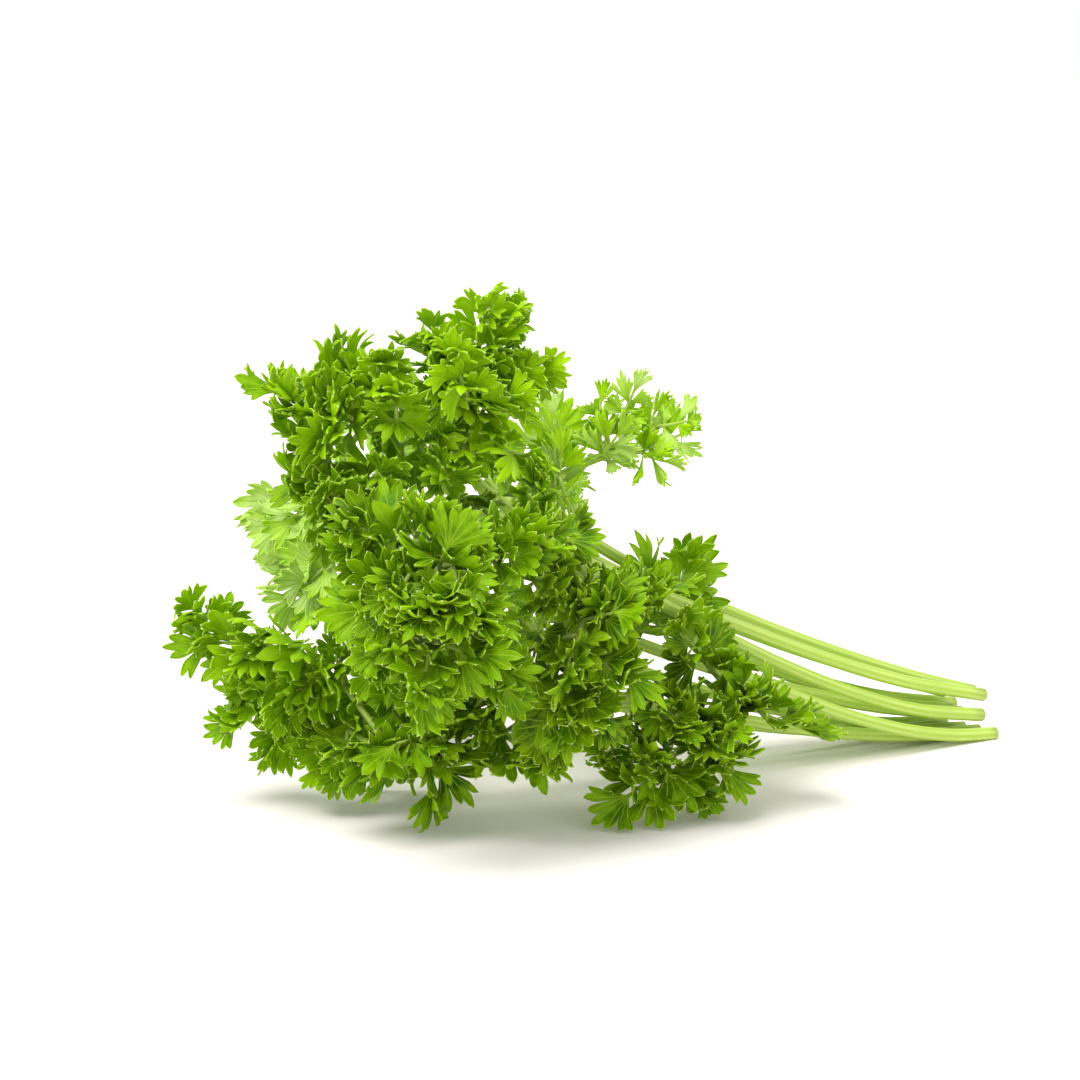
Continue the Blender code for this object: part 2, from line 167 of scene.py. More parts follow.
class Sprig:
    """The lines of one sprig: its rib, its place in the sheaf, and the frame of the leaf along the rib."""

    def __init__(self, number, name, collar, tip, face, *rest):
        self.number = number
        self.name = name
        self.reach, self.fan_length, self.upper_fans, self.middle_fans, self.row, place = rest
        self.collar = Vector(collar)
        self.tip = Vector(tip)
        along = self.tip - self.collar
        face = Vector(face)
        self.face = (face - face.project(along)).normalized()
        middle = self.collar.lerp(self.tip, 0.5) + self.face * RIB_BOW * along.length
        self.rib = [self.collar, middle, self.tip]
        self.slot = self.slot_in_sheaf(place)

    def slot_in_sheaf(self, place):
        """The middle of the stalk at the cut end, in a sheaf that is three stalks deep."""
        sideways = Vector((math.sin(BUNCH_TURN), math.cos(BUNCH_TURN), 0.0))
        outward = Vector((math.cos(BUNCH_TURN), -math.sin(BUNCH_TURN), 0.0))
        stagger = random.Random(SEED + 100 + self.number).uniform(-CUT_STAGGER_MM, CUT_STAGGER_MM)
        rise = STALK_RADIUS_MM - FLAT_DEPTH_MM + self.row * SLOT_RISE_MM
        level = CUT_END_MM + sideways * place * SLOT_PITCH_MM + outward * stagger
        return level + Vector((0.0, 0.0, rise))

    def stalk_curve(self):
        """Four control points: from the cut end along the sheaf, then in one sweep to the collar."""
        level = Vector((-math.cos(BUNCH_TURN), math.sin(BUNCH_TURN), 0.0))
        direct = self.collar - self.slot
        start = level.lerp(direct.normalized(), ROW_RISE[self.row]).normalized()
        arrive = (self.rib[1] - self.rib[0]).normalized()
        return [
            self.slot,
            self.slot + start * direct.length * STALK_START_PULL,
            self.collar - arrive * direct.length * STALK_END_PULL,
            self.collar - arrive * COLLAR_GAP_MM,
        ]

    def frame_at(self, share):
        """The point on the rib, its direction, its side and the upper face there."""
        here = bezier(self.rib, share)
        ahead = bezier(self.rib, share + RIB_STEP) - bezier(self.rib, share - RIB_STEP)
        ahead = ahead.normalized()
        side = ahead.cross(self.face).normalized()
        return here, ahead, side, side.cross(ahead).normalized()


sprigs = [Sprig(number, *row) for number, row in enumerate(SPRIGS)]
print("from cut end to collar in mm:", {s.name: round((s.slot - s.collar).length) for s in sprigs})

# %% [markdown]
# Each fan of leaflets has a root, a direction, an upper face, a length and a wave. They are drawn from the
# same seed as the frame's, in the same order.

# %% Where the fans grow
# For one, two or three fans: share of the stalklet's length, hand, size and lift of each
FANS = {
    1: ((1.0, 0, 1.0, 0.35),),
    2: ((1.0, 0, 1.0, 0.1), (0.4, 1, 0.8, 0.8)),
    3: ((1.0, 0, 1.0, 0.15), (1.0, 1, 0.9, 0.4), (1.0, -1, 0.9, 0.4)),
}
FAN_SPREAD = math.radians(76.0)
ROOT_SUNK_MM = 0.3
STALKLET_LIFT = 0.18
MIDDLE_LEAN, MIDDLE_SWING = 0.35, 0.4
# How far they stray: degrees or shares either way, and the smallest and largest size
STALKLET_TURN_OFF, STALKLET_SIZES = 8.0, (0.88, 1.08)
FAN_TURN_OFF, FAN_ROLL_OFF, FAN_LIFT_OFF, FAN_SIZES = 14.0, 40.0, 0.2, (0.9, 1.1)
print("fans on the end of a rib:", END_FANS)


def stalklets(sprig, draw):
    """For each stalklet: its points, end direction, side, upper face, and how many fans it has."""
    found = []
    for pair, fans in ((LOWER_PAIR, 2), (UPPER_PAIR, sprig.upper_fans)):
        share, length, spread = pair
        here, ahead, side, up = sprig.frame_at(share)
        for hand in (1, -1):
            turn = math.radians(spread + draw.uniform(-STALKLET_TURN_OFF, STALKLET_TURN_OFF))
            reach = sprig.reach * length * draw.uniform(*STALKLET_SIZES)
            out = ahead * math.cos(turn) + side * hand * math.sin(turn) + up * STALKLET_LIFT
            out = out.normalized()
            across = out.cross(up).normalized() * -hand
            found.append(([here, here + out * reach], out, across, up, fans))
    here, ahead, side, up = sprig.frame_at(1.0)
    found.append(([here, here], ahead, side, up, END_FANS))
    for i, share in enumerate(MIDDLE_SHARES[: sprig.middle_fans]):
        here, ahead, side, up = sprig.frame_at(share)
        swing = MIDDLE_SWING if i else -MIDDLE_SWING
        out = (up + ahead * MIDDLE_LEAN + side * swing).normalized()
        found.append(([here, here], out, side, -ahead, 1))
    return found


def fan_frames(stalklet, fan_length, draw):
    """Where each fan of a stalklet grows: its root, direction, upper face, length and wave."""
    points, ahead, side, up, fans = stalklet
    frames = []
    for share, hand, size, lift in FANS[fans]:
        turn = FAN_SPREAD * hand + math.radians(draw.uniform(-FAN_TURN_OFF, FAN_TURN_OFF))
        lift = lift + draw.uniform(-FAN_LIFT_OFF, FAN_LIFT_OFF)
        out = (ahead * math.cos(turn) + side * math.sin(turn) + up * lift).normalized()
        roll = Matrix.Rotation(math.radians(draw.uniform(-FAN_ROLL_OFF, FAN_ROLL_OFF)), 3, out)
        face = (roll @ (up - up.project(out))).normalized()
        length = fan_length * size * draw.uniform(*FAN_SIZES)
        root = points[0].lerp(points[1], share) - out * ROOT_SUNK_MM
        frames.append((root, out, face, length, draw.uniform(0.0, 2 * math.pi)))
    return frames


# %% [markdown]
# In the frame a fan that would cross another sprig is rolled or bent until it is clear. Here each of those
# ways is tried again, and the one whose seven tips lie closest to the frame's own corners is kept. A fan
# that has no corners near its tips has no room in the frame, and is left out here too.

# %% Match the fans to the frame
FAN_SPAN = math.radians(54.0)
FAN_WAVES = 3.4
FAN_WAVE_SHARE = 0.24
FAN_CUP_SHARE = 0.22
FAN_ROUNDING = 0.22
TIP_BEARINGS = (np.arange(7) - 3.0) * 2 * FAN_SPAN / 7
TIP_REACHES = 1.0 - FAN_ROUNDING * (TIP_BEARINGS / FAN_SPAN) ** 2
# Roll and lift in degrees, and size, in the order in which the frame tries them
CLEAR_TRIES = [
    (roll, lift, size)
    for size in (1.0, 0.8)
    for lift in (0.0, 22.0, -22.0, 44.0)
    for roll in (0.0, 35.0, -35.0, 70.0, -70.0)
]
FIT_MM = 1.0


def bent(fan, roll, lift, size):
    """The fan rolled about its own axis, then bent up from its root, and made smaller."""
    root, out, face, length, wave = fan
    face = Matrix.Rotation(math.radians(roll), 3, out) @ face
    turn = Matrix.Rotation(math.radians(lift), 3, out.cross(face))
    return root, turn @ out, turn @ face, length * size, wave


def on_axes(blade, ahead, aside, rise):
    """Points of a blade in flat millimetres: root + ahead direction + aside side + rise upper face."""
    root, out, face = blade[:3]
    axes = np.array([out, out.cross(face), face])
    return np.array(root) + np.stack([ahead, aside, rise], axis=-1) @ axes


def on_fan(fan, ahead, aside):
    """Points of a waved fan: rise = wave reach^1.5 cos(waves bearing + phase) + cup reach^2."""
    length, wave = fan[3:]
    reach = np.hypot(ahead, aside) / length
    bearing = np.arctan2(aside, ahead)
    rise = FAN_WAVE_SHARE * length * reach**1.5 * np.cos(FAN_WAVES * bearing + wave)
    return on_axes(fan, ahead, aside, rise + FAN_CUP_SHARE * length * reach**2)


def matched_fans(sprig):
    """The fans of one head as the frame has them, and the stalklets that have a length."""
    draw = random.Random(SEED + sprig.number)
    node = NODES["leaf_" + sprig.name].data
    corners = np.zeros(len(node.vertices) * 3)
    node.vertices.foreach_get("co", corners)
    corners = np.unique(np.round(corners.reshape(-1, 3), 6), axis=0)
    fans, twigs = [], []
    for stalklet in stalklets(sprig, draw):
        for fan in fan_frames(stalklet, sprig.fan_length, draw):
            best = None
            for step in CLEAR_TRIES:
                one = bent(fan, *step)
                ahead = one[3] * TIP_REACHES * np.cos(TIP_BEARINGS)
                aside = one[3] * TIP_REACHES * np.sin(TIP_BEARINGS)
                tips = placed(on_fan(one, ahead, aside))
                off = np.linalg.norm(tips[:, None] - corners[None], axis=2).min(axis=1)
                miss = float(np.median(off)) / MM
                if best is None or miss < best[0]:
                    best = (miss, one)
            if best[0] < FIT_MM:
                fans.append(best[1])
        if stalklet[0][0] != stalklet[0][1]:
            twigs.append(stalklet)
    return fans, twigs


heads = {s.name: matched_fans(s) for s in sprigs}
print("fans of each head:", {name: len(fans) for name, (fans, _) in heads.items()})

# %% [markdown]
# A living head has more side shoots than the coarse form has room for, and they make one bushy mass of it.
# Each grows from the nearest point of its sprig. Its upper face looks towards the leafy end and up, and is
# then rolled about its own direction.

# %% Side shoots
# head, root, direction, length, roll in degrees
SIDE_SHOOTS = (
    ("crown", (-12, 0, 98), (0.23, -0.27, 0.94), 15, 10),
    ("crown", (-7, 6, 97), (0.38, -0.16, 0.91), 12, -30),
    ("crown", (-18, -2, 93), (-0.3, -0.26, 0.9), 13, -20),
    ("crown", (-6, 4, 89), (0.86, -0.29, 0.43), 14, 20),
    ("crown", (-14, -8, 87), (-0.26, -0.47, 0.84), 17, 0),
    ("crown_left", (-32, -4, 87), (-0.01, -0.27, 0.96), 15, 15),
    ("crown_left", (-37, -6, 83), (-0.76, -0.13, 0.64), 15, 0),
    ("crown_left", (-28, -6, 81), (-0.02, -0.5, 0.86), 16, -10),
    ("crown_left", (-39, 0, 75), (-0.98, 0, 0.18), 17, 10),
    ("mid_left", (-37, -10, 68), (-0.96, 0.23, 0.16), 17, 30),
    ("mid_left", (-38, -12, 64), (-0.55, -0.41, 0.73), 15, 0),
    ("branching", (16, 4, 81), (0.41, -0.15, 0.9), 13, 0),
    ("branching", (12, 5, 77), (0.03, -0.07, 1), 14, 20),
    ("branching", (23, 4, 80), (0.95, -0.29, 0.12), 14, 0),
    ("branching", (10, 6, 74), (0.9, -0.37, -0.22), 11, -40),
    ("left_back", (-44, 30, 48), (-0.7, -0.22, -0.68), 18, 0),
    ("left_back", (-40, 30, 44), (-0.61, -0.36, -0.7), 17, 20),
    ("left_back", (-47, 34, 60), (-0.87, 0, -0.5), 17, 10),
    ("front", (-26, -34, 60), (-0.99, -0.12, 0.02), 17, 10),
    ("front", (-26, -34, 52), (-0.84, -0.37, -0.39), 16, -10),
    ("front", (-25, -32, 44), (-0.7, -0.25, -0.67), 16, 10),
    ("front", (-19, -34, 41), (-0.17, -0.24, -0.95), 16, 0),
    ("front", (-11, -34, 44), (0.47, -0.25, -0.85), 16, -15),
    ("front", (-11, -36, 60), (0.98, 0.13, 0.16), 15, 20),
    ("front", (-16, -43, 60), (0.22, -0.5, -0.84), 17, 10),
    ("front", (-24, -43, 59), (-0.5, -0.4, -0.77), 15, -10),
    ("front_right", (0, -14, 44), (-0.12, -0.38, -0.92), 16, 10),
    ("front_right", (4, -16, 41), (0.46, -0.36, -0.81), 17, -10),
    ("front_right", (2, -14, 56), (0.54, 0, 0.84), 14, 160),
    ("front_right", (-2, -18, 54), (0.35, -0.5, -0.5), 15, 0),
    ("front_right", (-4, -16, 62), (0.5, -0.4, 0.1), 14, -20),
    ("branching", (4, 2, 70), (0.3, -0.1, -0.95), 13, 170),
    ("branching", (1, 1, 70), (-0.25, -0.2, -0.9), 12, 200),
    ("front_right", (-3, -6, 66), (0.4, -0.5, 0.6), 13, 10),
    ("mid_left", (-20, -6, 70), (0.3, -0.6, 0.6), 14, 0),
    ("front_right", (14, -12, 48), (0.8, -0.4, 0.2), 13, 0),
    ("left_low", (-65, 12, 35), (-0.66, -0.24, 0.71), 16, 0),
    ("left_low", (-56, 14, 24), (-0.63, -0.13, -0.77), 16, 10),
    ("left_low", (-50, 12, 20), (-0.51, -0.13, -0.85), 16, -15),
    ("left_low", (-45, 10, 18), (-0.02, -0.26, -0.97), 15, 0),
    ("left_low", (-52, 12, 30), (-0.59, -0.63, -0.52), 13, 10),
    ("low_centre", (-39, 2, 18), (-0.14, -0.14, -0.98), 14, 0),
    ("low_centre", (-40, 4, 27), (-0.3, -0.1, 0.95), 13, 20),
    ("low_centre", (-18, -4, 22), (-0.16, -0.69, -0.71), 12, 15),
    ("low_centre", (-4, 0, 19), (0.62, -0.62, -0.48), 13, -10),
    ("right_low", (16, 2, 16), (-0.56, -0.55, -0.62), 11, 0),
    ("right_low", (24, -2, 24), (0.55, -0.6, -0.3), 14, 0),
    ("right_low", (34, 0, 22), (0.7, -0.5, -0.4), 13, 15),
    ("right_low", (22, -4, 16), (-0.1, -0.8, -0.3), 12, -15),
)
SHOOT_FACE = Vector((0.0, -1.0, 0.45))
# Radians between the waves of one shoot and the next
SHOOT_WAVE_STEP = 2.4
STALK_SAMPLES, RIB_SAMPLES = 60, 12


def grow_side_shoots(sprig):
    """Adds the side shoots of one head to its fans, and to its stalklets the twig that carries each."""
    fans, twigs = heads[sprig.name]
    stalk = sprig.stalk_curve()
    line = [bezier(stalk, i / STALK_SAMPLES) for i in range(STALK_SAMPLES + 1)]
    line += [bezier(sprig.rib, i / RIB_SAMPLES) for i in range(RIB_SAMPLES + 1)]
    for number, (name, root, out, length, roll) in enumerate(SIDE_SHOOTS):
        if name == sprig.name:
            root, out = Vector(root), Vector(out).normalized()
            face = (SHOOT_FACE - SHOOT_FACE.project(out)).normalized()
            face = Matrix.Rotation(math.radians(roll), 3, out) @ face
            fans.append((root, out, face, length, SHOOT_WAVE_STEP * number))
            foot = min(line, key=lambda point: (point - root).length)
            twigs.append(([foot, root],))


for one in sprigs:
    grow_side_shoots(one)
print("fans and side shoots:", {name: len(fans) for name, (fans, _) in heads.items()})

# %% [markdown]
# ## The leaflets
# A curly leaflet is flat only in the bud. Its rim grows faster than its middle, so it finds no room in a
# plane and folds into ruffles. Each leaflet here is laid out flat first: a wedge of two or three lobes,
# each cut into two or three pointed teeth. A grid that follows the teeth needs few faces and gives clean
# points.

# %% The flat pattern of one leaflet
COLUMNS = np.array([-1.0, -0.5, 0.0, 0.5, 1.0])
WEB_ROWS = np.array([0.04, 0.36, 0.63])
TOOTH_ROWS = np.array([0.4, 0.75, 1.0])
# Half the width of the little stalk, and how much of it is left at its foot
STALK_HALF_MM, FOOT_SHARE = 0.4, 0.8
# The share of a leaflet's span that is left at its root
WEDGE = 0.6
# Reach at which the cuts end: between lobes, between teeth, and at the leaflet's own sides
DEEP_CUT, SHALLOW_CUT, SIDE_CUT = 0.42, 0.67, 0.34
# How much nearer the tips are at the leaflet's sides and at a lobe's sides, and the least length of a tooth
SIDE_FALL, LOBE_FALL, LEAST_TOOTH = 0.2, 0.1, 0.1
TOOTH_WIDTH_OFF, TIP_OFF = 0.14, 0.04
# Teeth of each lobe, from one side of the leaflet to the other
BIG_LOBES = (2, 3, 2)
SMALL_LOBES = (2, 2)


def tooth_plan(span, lobes, rng):
    """For each tooth: its lobe, middle bearing, half width, the cuts beside it, and the reach of its tip."""
    teeth = sum(lobes)
    lobe = np.repeat(np.arange(len(lobes)), lobes)
    place = np.concatenate([np.arange(n) - (n - 1) / 2 for n in lobes])
    bounds = np.linspace(-span, span, teeth + 1)
    bounds[1:-1] += rng.uniform(-TOOTH_WIDTH_OFF, TOOTH_WIDTH_OFF, teeth - 1) * 2 * span / teeth
    middle = 0.5 * (bounds[1:] + bounds[:-1])
    half = 0.5 * (bounds[1:] - bounds[:-1])
    cuts = np.full(teeth + 1, SHALLOW_CUT)
    cuts[np.flatnonzero(np.diff(lobe)) + 1] = DEEP_CUT
    cuts[[0, -1]] = SIDE_CUT
    tips = 1.0 - SIDE_FALL * (middle / span) ** 2 - LOBE_FALL * np.abs(place)
    tips = np.maximum(tips + rng.uniform(-TIP_OFF, TIP_OFF, teeth), WEB_ROWS[-1] + LEAST_TOOTH)
    return lobe, middle, half, np.stack([cuts[:-1], cuts[1:]], axis=1), tips


def leaflet_pattern(length, span, start, lobes, rng):
    """Flat millimetres ahead and aside of one leaflet, with the marks that its colours follow.

    The grid has a tooth, a row and a column. A row is a circle round the leaflet's own root, and a column is
    a share of the tooth's half width, which is full up to the cut beside it and then shrinks to the tip as
    (1 - s^1.8)^0.9 (1 + 0.1 s). The bearings close in towards the root, so the leaflet is a wedge. The first
    row is the foot of the little stalk.
    """
    lobe, middle, half, cuts, tips = tooth_plan(span, lobes, rng)
    web = np.tile(WEB_ROWS, (len(lobe), 1))
    rows = np.concatenate([web, WEB_ROWS[-1] + TOOTH_ROWS * (tips[:, None] - WEB_ROWS[-1])], axis=1)
    near = cuts[:, None, :]
    beyond = np.clip((rows[:, :, None] - near) / (tips[:, None, None] - near), 0.0, 1.0)
    width = (1.0 - beyond**1.8) ** 0.9 * (1.0 + 0.1 * beyond)
    share = np.where(COLUMNS < 0.0, width[:, :, :1], width[:, :, 1:]) * COLUMNS
    bearing = middle[:, None, None] + half[:, None, None] * share
    reach = np.broadcast_to(rows[:, :, None], bearing.shape)
    bearing = bearing * (WEDGE + (1.0 - WEDGE) * reach**0.7)
    strip = STALK_HALF_MM * bearing / span
    ahead = length * reach * np.cos(bearing)
    aside = length * reach * np.sin(bearing) + strip
    foot = np.full((len(lobe), 1, len(COLUMNS)), -start)
    ahead = np.concatenate([foot, ahead], axis=1)
    aside = np.concatenate([strip[:, :1] * FOOT_SHARE, aside], axis=1)
    bearing = np.concatenate([bearing[:, :1], bearing], axis=1)
    reach = np.concatenate([np.zeros_like(foot), reach], axis=1)
    is_open = np.where(COLUMNS < 0.0, beyond[:, :, :1], beyond[:, :, 1:]) > 0.0
    is_open = np.concatenate([is_open[:, :1], is_open], axis=1)
    is_open[0, :, :2] = True
    is_open[-1, :, 3:] = True
    across = np.broadcast_to(np.abs(COLUMNS), ahead.shape)
    free = np.clip((reach - WEB_ROWS[-1]) / (tips[:, None, None] - WEB_ROWS[-1]), 0.0, 1.0)
    # Across squared at open teeth says how near the rim a point is; the painted highlight along the rim
    # follows it.
    return ahead, aside, bearing, reach, free, across, across**2 * is_open, lobe, middle


print("teeth of a leaflet:", sum(BIG_LOBES), "or, on a small one,", sum(SMALL_LOBES))

# %% [markdown]
# The flat leaflet is then raised along its upper face: ruffles that grow towards the rim, sides that cup,
# lobes that bend and twist on their own, teeth folded at the midrib and tips that curl. Each is a plain
# formula of the reach and the bearing, so neighbours in the grid stay together.

# %% The relief of one leaflet
RUFFLE_SHARE = 0.11
SIDE_CUP = (-0.10, 0.36)
BOW = (-0.34, 0.16)
FOLD_SHARE = 0.05
CURL_SHARE = 0.16
LOBE_BEND = (-0.5, 0.8)
LOBE_TWIST = 0.5
RUFFLE_WAVES = (1.4, 2.4)
CURL_SPREAD = (-0.6, 1.0)


def leaflet_relief(pattern, length, span, rng):
    """Height above the flat pattern: ruffles, raised sides, a bow, bent lobes, folded teeth, curled tips.

    Ruffle = a sine of the bearing that grows as reach^1.6. Sides = (bearing / span)^2 reach^2, bow = reach^2.
    A lobe bends as the square of the reach beyond the deep cuts, and twists with the bearing from its own
    middle. Fold = |column|^1.3 reach^3. Curl = the free share squared, by a different amount on each tooth.
    """
    _, _, bearing, reach, free, across, _, lobe, middle = pattern
    waves = rng.uniform(*RUFFLE_WAVES) * math.pi / span
    ruffle = RUFFLE_SHARE * reach**1.6 * np.sin(waves * bearing + rng.uniform(0.0, 2 * math.pi))
    whole = rng.uniform(*SIDE_CUP) * (bearing / span) ** 2 * reach**2 + rng.uniform(*BOW) * reach**2
    past = np.clip(reach - DEEP_CUT, 0.0, 1.0)
    bend = rng.uniform(*LOBE_BEND, lobe[-1] + 1)[lobe][:, None, None]
    twist = rng.uniform(-LOBE_TWIST, LOBE_TWIST, lobe[-1] + 1)[lobe][:, None, None]
    own = np.array([middle[lobe == i].mean() for i in range(lobe[-1] + 1)])[lobe][:, None, None]
    lobes = bend * past**2 + twist * past * (bearing - own) * 2.0
    fold = FOLD_SHARE * across**1.3 * reach**3
    curl = rng.uniform(*CURL_SPREAD, len(lobe))[:, None, None] * CURL_SHARE * free**2
    return length * (ruffle + whole + lobes + fold + curl)


trial = np.random.default_rng(SEED)
pattern = leaflet_pattern(9.0, 1.0, 1.0, BIG_LOBES, trial)
print("a leaflet of 9 mm is", round(float(np.ptp(leaflet_relief(pattern, 9.0, 1.0, trial))), 1), "mm high")

# %% [markdown]
# No two leaflets are equally green, and the teeth of one leaflet differ a little too. So the points carry
# marks that the material reads: how far from the midrib, how far out, how near the rim, how light, how near
# a tip. How light is partly the leaflet's own tone and partly painted shade and light that each head gets
# for its place in the bunch.

# %% One leaflet
START_SHARE = 0.12
LEAFLET_TONE_OFF, TOOTH_TONE_OFF = 0.18, 0.05


def leaflet(blade, span, lobes, tone_and_painted_light, rng):
    """Points and marks of the leaflet with this root, direction, upper face and length."""
    start = START_SHARE * blade[3]
    length = blade[3] - start
    pattern = leaflet_pattern(length, span, start, lobes, rng)
    ahead, aside, _, reach, free, across, rim_highlight_mask, lobe, _ = pattern
    points = on_axes(blade, ahead + start, aside, leaflet_relief(pattern, length, span, rng))
    # The head's painted shade and light, plus the leaflet's and each tooth's own random tone.
    shade = tone_and_painted_light + rng.uniform(-LEAFLET_TONE_OFF, LEAFLET_TONE_OFF)
    shade = shade + rng.uniform(-TOOTH_TONE_OFF, TOOTH_TONE_OFF, len(lobe))[:, None, None]
    marks = np.stack([across, reach, rim_highlight_mask, np.broadcast_to(shade, reach.shape), free], axis=-1)
    return points, marks


# %% [markdown]
# A fan is a little feather: five leaflets, two pairs and one at the end, leave a short rib. They follow the
# waved blade of the frame, each a little turned and rolled. Smaller ones stand up from the same rib, which
# makes a curly head as full as a rosette. The open sprig has narrower leaflets, and it, the pale head at
# the back and the two heads behind have no small ones.

# %% The leaflets of one fan
# Distance out along the rib, bearing, lift and size of each leaflet
LEAFLETS = (
    (0.54, 0.0, 0.0, 0.49),
    (0.34, 44.0, 6.0, 0.54),
    (0.34, -44.0, 6.0, 0.54),
    (0.13, 68.0, 12.0, 0.54),
    (0.13, -68.0, 12.0, 0.54),
)
FRILLS = ((0.30, -20.0, 40.0, 0.42), (0.14, 22.0, 52.0, 0.44), (0.48, 14.0, 30.0, 0.40))
LEAFLET_SPAN = math.radians(61.0)
OPEN_SPAN = math.radians(34.0)
OPEN_SIZE = 0.85
OPEN_HEADS = ("branching",)
SIMPLE_HEADS = ("branching", "rear_high", "rear_low", "left_back")
BESIDE_SHARE = 0.3
SMALL_LEAFLETS_PALER = 0.05
# How far a leaflet strays: degrees, degrees, radians, and the smallest and largest size
BEARING_OFF, LIFT_OFF, ROLL_OFF, LEAFLET_SIZES = 12.0, 16.0, 0.5, (0.88, 1.15)
# How light each head is: 0 is the darkest leaf, 1 the palest. Part of this is the leaf's own green and part
# is painted shade and light for the head's place in the bunch: the low and front heads are darker, the top
# and back ones lighter.
HEAD_TONES_AND_PAINTED_LIGHT = {
    "front": 0.25,
    "front_right": 0.13,
    "crown": 0.5,
    "crown_left": 0.44,
    "branching": 0.72,
    "left_back": 0.86,
    "left_low": 0.4,
    "low_centre": 0.2,
    "right_low": 0.17,
    "right_back": 0.42,
    "rear_high": 0.5,
    "rear_low": 0.42,
    "mid_left": 0.22,
}


def leaflet_blade(fan, distance, bearing, lift, size, rng):
    """Root, direction, face and length of a leaflet that lies on its fan, and is then lifted and rolled."""
    length = fan[3]
    bearing = math.radians(bearing + rng.uniform(-BEARING_OFF, BEARING_OFF))
    ahead = np.array([0.0, size * math.cos(bearing), -BESIDE_SHARE * math.sin(bearing)]) + distance
    aside = np.array([0.0, size * math.sin(bearing), BESIDE_SHARE * math.cos(bearing)])
    foot, tip, beside = (Vector(point) for point in on_fan(fan, ahead * length, aside * length))
    out = (tip - foot).normalized()
    face = (beside - foot).cross(out).normalized()
    lifted = math.radians(lift + rng.uniform(-LIFT_OFF, LIFT_OFF))
    stand = Matrix.Rotation(lifted, 3, out.cross(face))
    out, face = stand @ out, stand @ face
    face = Matrix.Rotation(rng.uniform(-ROLL_OFF, ROLL_OFF), 3, out) @ face
    return foot, out, face, size * length * rng.uniform(*LEAFLET_SIZES)


def fan_leaflets(fan, name, rng):
    """The five leaflets of the fan, and the frills: small ones that stand up from its rib."""
    tone_and_painted_light = HEAD_TONES_AND_PAINTED_LIGHT[name]
    span, size = (OPEN_SPAN, OPEN_SIZE) if name in OPEN_HEADS else (LEAFLET_SPAN, 1.0)
    blades = [leaflet_blade(fan, *row, rng) for row in LEAFLETS]
    big = [leaflet((*b[:3], b[3] * size), span, BIG_LOBES, tone_and_painted_light, rng) for b in blades]
    blades = [leaflet_blade(fan, *row, rng) for row in (() if name in SIMPLE_HEADS else FRILLS)]
    return big, [leaflet(b, span, SMALL_LOBES, tone_and_painted_light + SMALL_LEAFLETS_PALER, rng) for b in blades]


print("leaflets of a fan:", len(LEAFLETS), "and", len(FRILLS), "frills")


# %% [markdown]
# Everything lies on a table, so what would sink into it is pressed towards it and stays just above. All the
# grids of a head become one mesh. Borders between teeth are merged, so the web of a leaflet is one sheet.

# %% From grids to a mesh
FLOOR_SOFT_MM = 2.0
SLIVER_M = 1e-7


def pressed(points, low):
    """Heights under the soft limit shrink exponentially towards the lowest one allowed."""
    room = FLOOR_SOFT_MM - low
    height = points[..., 2]
    soft = low + room * np.exp(np.minimum(height - FLOOR_SOFT_MM, 0.0) / room)
    points[..., 2] = np.where(height < FLOOR_SOFT_MM, soft, height)
    return points


def grid_faces(shape, closed=False):
    """Corner numbers of the quads of a stack of grids, row by row and column by column."""
    count, rows, columns = shape
    index = np.arange(count * rows * columns).reshape(shape)
    if closed:
        index = np.concatenate([index, index[:, :, :1]], axis=2)
    quads = [index[:, :-1, :-1], index[:, :-1, 1:], index[:, 1:, 1:], index[:, 1:, :-1]]
    return np.stack(quads, axis=-1).reshape(-1, 4)


def grid_mesh(name, points, marks, faces, weld_mm):
    """A smooth mesh of the grids, with its marks as point attributes and doubles merged."""
    mesh = bpy.data.meshes.new(name)
    flat = placed(points.reshape(-1, 3))
    mesh.from_pydata(flat, [], faces)
    for label, values in marks.items():
        kind = "FLOAT_VECTOR" if values.ndim > 1 and values.shape[-1] == 3 else "FLOAT"
        attribute = mesh.attributes.new(label, kind, "POINT")
        attribute.data.foreach_set("vector" if kind == "FLOAT_VECTOR" else "value", values.ravel())
    shape = bmesh.new()
    shape.from_mesh(mesh)
    bmesh.ops.remove_doubles(shape, verts=shape.verts, dist=weld_mm * MM)
    bmesh.ops.dissolve_degenerate(shape, edges=shape.edges, dist=SLIVER_M)
    shape.to_mesh(mesh)
    shape.free()
    mesh.shade_smooth()
    return mesh


print("a leaflet's grid has", sum(BIG_LOBES) * len(COLUMNS) * (1 + len(WEB_ROWS) + len(TOOTH_ROWS)), "points")

# %% [markdown]
# A real leaf is about a quarter of a millimetre thick. Solidify gives the sheet that thickness, closes its
# rim and puts the second material on the underside. It is applied here, so that the piece is a plain closed
# mesh.

# %% The heads
LEAF_LOW_MM = 0.2
LEAF_THICKNESS_MM = 0.24
WELD_MM = 0.005
SHARP_DEGREES = 60.0


